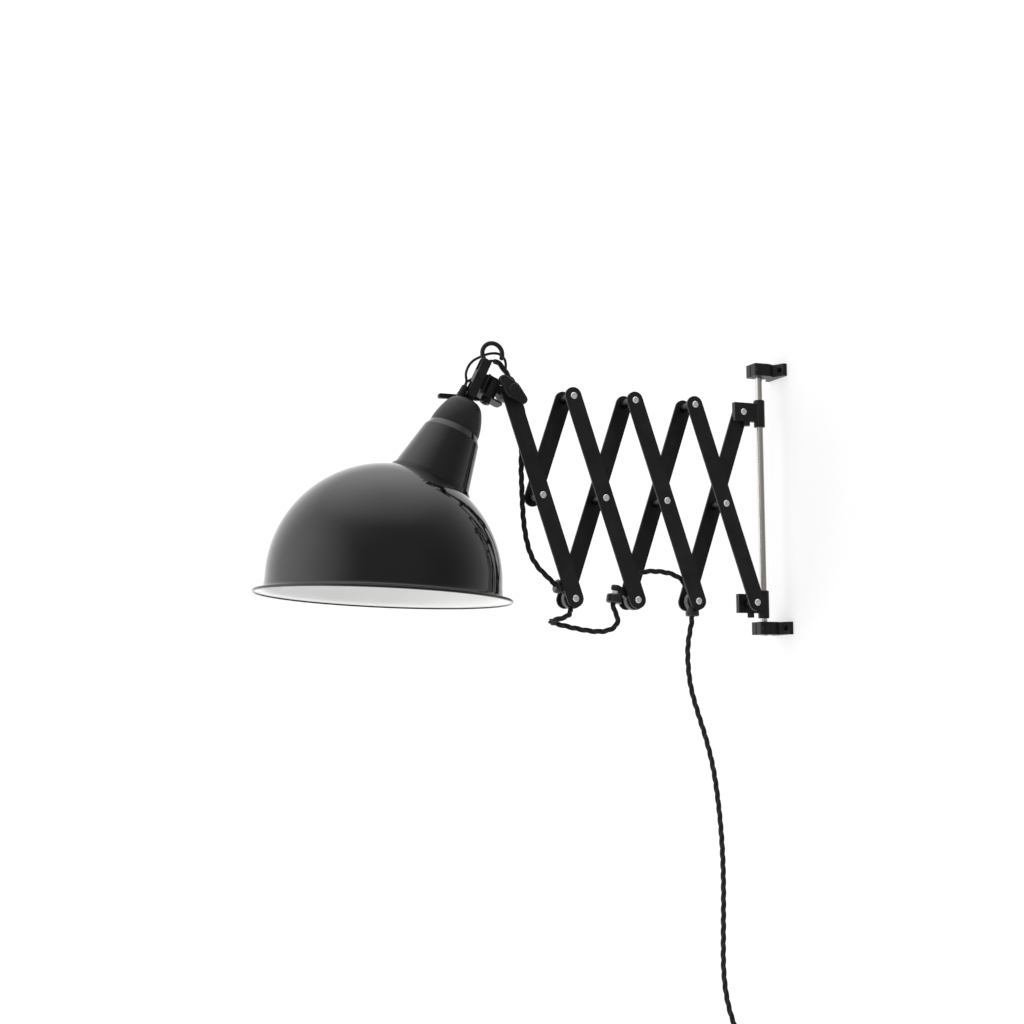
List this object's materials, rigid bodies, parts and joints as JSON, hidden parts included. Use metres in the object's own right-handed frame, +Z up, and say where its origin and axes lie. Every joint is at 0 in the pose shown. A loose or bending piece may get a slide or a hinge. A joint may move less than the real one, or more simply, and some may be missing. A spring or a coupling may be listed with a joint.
{
  "type": "accordion wall lamp",
  "caption": "Wall lamp with a scissor arm of crossed flat bars on a vertical guide rod, a jointed head, a domed enamel shade and a textile flex.",
  "frame": {"origin": "centre of the four wall screw holes, on the wall's plane", "axes": "+X out of the lamp into the wall, +Z up along the guide rod; the arm and shade reach towards -X"},
  "size_m": [0.7754, 0.338, 1.206],
  "materials": {
    "satin_black": "satin",
    "enamel": "gloss",
    "nickel": "polished",
    "polished_steel": "polished",
    "brass": "satin",
    "ceramic": "glazed",
    "textile": "braided",
    "black_plastic": "satin"
  },
  "bodies": {
    "wall_side": {"upper_wall_bracket": "satin_black", "lower_wall_bracket": "satin_black", "guide_rod": "polished_steel", "bracket_clamp_screws": "satin_black", "rod_stop_pin": "nickel"},
    "lower_carriage": {"lower_sleeve": "satin_black", "lower_block": "satin_black", "lower_bolt": "satin_black"},
    "upper_carriage": {"upper_sleeve": "satin_black", "upper_block": "satin_black", "upper_bolt": "satin_black", "upper_carriage_pin": "nickel"},
    "knuckle": {"tilt_wing_screw": "satin_black", "knuckle_block": "satin_black"},
    "hanger": {"swivel_yoke": "satin_black", "swivel_pin": "satin_black", "hanger_fork": "satin_black", "yoke_screw": "satin_black", "cable_hook": "satin_black", "flex_strands": "textile"},
    "shade": {"shade_dome": "enamel", "shade_neck": "enamel", "holder_cap": "satin_black", "cap_lug": "satin_black", "clevis_bolt": "satin_black", "inlet_ferrule": "satin_black", "lampholder_shell": "satin_black", "lampholder_ring": "brass", "lampholder_insert": "ceramic", "lampholder_contacts": "brass", "lampholder_nipple": "brass"},
    "cord_tail": {"cable_gland": "black_plastic", "flex_tail": "textile", "flex_hank": "textile", "plug_body": "black_plastic", "plug_pins": "nickel"},
    "front_bar_0": {"front_bar_0": "satin_black", "pivot_pins_0": "nickel", "pivot_spacers_0": "nickel", "cable_clip_0": "black_plastic", "flex_hang": "textile", "flex_lead": "textile"},
    "back_bar_0": {"back_bar_0": "satin_black"},
    "front_bar_1": {"front_bar_1": "satin_black", "pivot_pins_1": "nickel", "pivot_spacers_1": "nickel", "cable_clip_1": "black_plastic", "clip_ring": "nickel", "flex_loop": "textile"},
    "back_bar_1": {"back_bar_1": "satin_black"},
    "front_bar_2": {"front_bar_2": "satin_black", "pivot_pins_2": "nickel", "pivot_spacers_2": "nickel"},
    "back_bar_2": {"back_bar_2": "satin_black", "flex_arc": "textile"},
    "front_bar_3": {"front_bar_3": "satin_black", "pivot_pins_3": "nickel", "pivot_spacers_3": "nickel"},
    "back_bar_3": {"back_bar_3": "satin_black"}
  },
  "joints": [
    {"name": "arm_swing", "type": "hinge", "parent": "wall_side", "child": "lower_carriage", "pos_m": [-0.033, 0, 0], "axis": [0, 0, 1], "range_deg": [-70, 70]},
    {"name": "arm_fold", "type": "hinge", "parent": "lower_carriage", "child": "front_bar_3", "pos_m": [-0.062, 0, -0.152], "axis": [0, -1, 0], "range_deg": [-7.5, 41.3], "deforming": ["flex_loop", "flex_arc"]},
    {"name": "cross_3", "type": "hinge", "parent": "front_bar_3", "child": "back_bar_3", "pos_m": [-0.10874, 0, -0.01368], "axis": [0, -1, 0], "range_deg": [-82.61, 15.01]},
    {"name": "foot_2", "type": "hinge", "parent": "back_bar_3", "child": "front_bar_2", "pos_m": [-0.15547, 0, -0.152], "axis": [0, -1, 0], "range_deg": [-15.01, 82.61]},
    {"name": "cross_2", "type": "hinge", "parent": "front_bar_2", "child": "back_bar_2", "pos_m": [-0.20221, 0, -0.01368], "axis": [0, -1, 0], "range_deg": [-82.61, 15.01]},
    {"name": "foot_1", "type": "hinge", "parent": "back_bar_2", "child": "front_bar_1", "pos_m": [-0.24895, 0, -0.152], "axis": [0, -1, 0], "range_deg": [-15.01, 82.61]},
    {"name": "cross_1", "type": "hinge", "parent": "front_bar_1", "child": "back_bar_1", "pos_m": [-0.29568, 0, -0.01368], "axis": [0, -1, 0], "range_deg": [-82.61, 15.01]},
    {"name": "foot_0", "type": "hinge", "parent": "back_bar_1", "child": "front_bar_0", "pos_m": [-0.34242, 0, -0.152], "axis": [0, -1, 0], "range_deg": [-15.01, 82.61]},
    {"name": "cross_0", "type": "hinge", "parent": "front_bar_0", "child": "back_bar_0", "pos_m": [-0.38916, 0, -0.01368], "axis": [0, -1, 0], "range_deg": [-82.61, 15.01]},
    {"name": "upper_carriage_pivot", "type": "hinge", "parent": "back_bar_3", "child": "upper_carriage", "pos_m": [-0.062, 0, 0.12463], "axis": [0, -1, 0], "range_deg": [-7.51, 41.31]},
    {"name": "cord_hang", "type": "hinge", "parent": "back_bar_3", "child": "cord_tail", "pos_m": [-0.15547, 0, -0.152], "axis": [0, -1, 0], "range_deg": [-7.51, 41.31]},
    {"name": "head_tilt", "type": "hinge", "parent": "front_bar_0", "child": "knuckle", "pos_m": [-0.4359, 0, 0.12463], "axis": [0, 1, 0], "range_deg": [-5, 50], "deforming": ["flex_lead"]},
    {"name": "head_swivel", "type": "hinge", "parent": "knuckle", "child": "hanger", "pos_m": [-0.45729, -0.013, 0.12789], "axis": [0.4274, 0, 0.9041], "range_deg": [-75, 60]},
    {"name": "shade_tilt", "type": "hinge", "parent": "hanger", "child": "shade", "pos_m": [-0.486, -0.013, 0.11933], "axis": [0, 1, 0], "range_deg": [-5, 42], "deforming": ["flex_strands"]}
  ],
  "couplings": [
    {"joint": "cross_3", "follows": "arm_fold", "ratio": -2},
    {"joint": "foot_2", "follows": "arm_fold", "ratio": 2},
    {"joint": "cross_2", "follows": "arm_fold", "ratio": -2},
    {"joint": "foot_1", "follows": "arm_fold", "ratio": 2},
    {"joint": "cross_1", "follows": "arm_fold", "ratio": -2},
    {"joint": "foot_0", "follows": "arm_fold", "ratio": 2},
    {"joint": "cross_0", "follows": "arm_fold", "ratio": -2},
    {"joint": "upper_carriage_pivot", "follows": "arm_fold", "ratio": 1},
    {"joint": "cord_hang", "follows": "arm_fold", "ratio": 1}
  ]
}
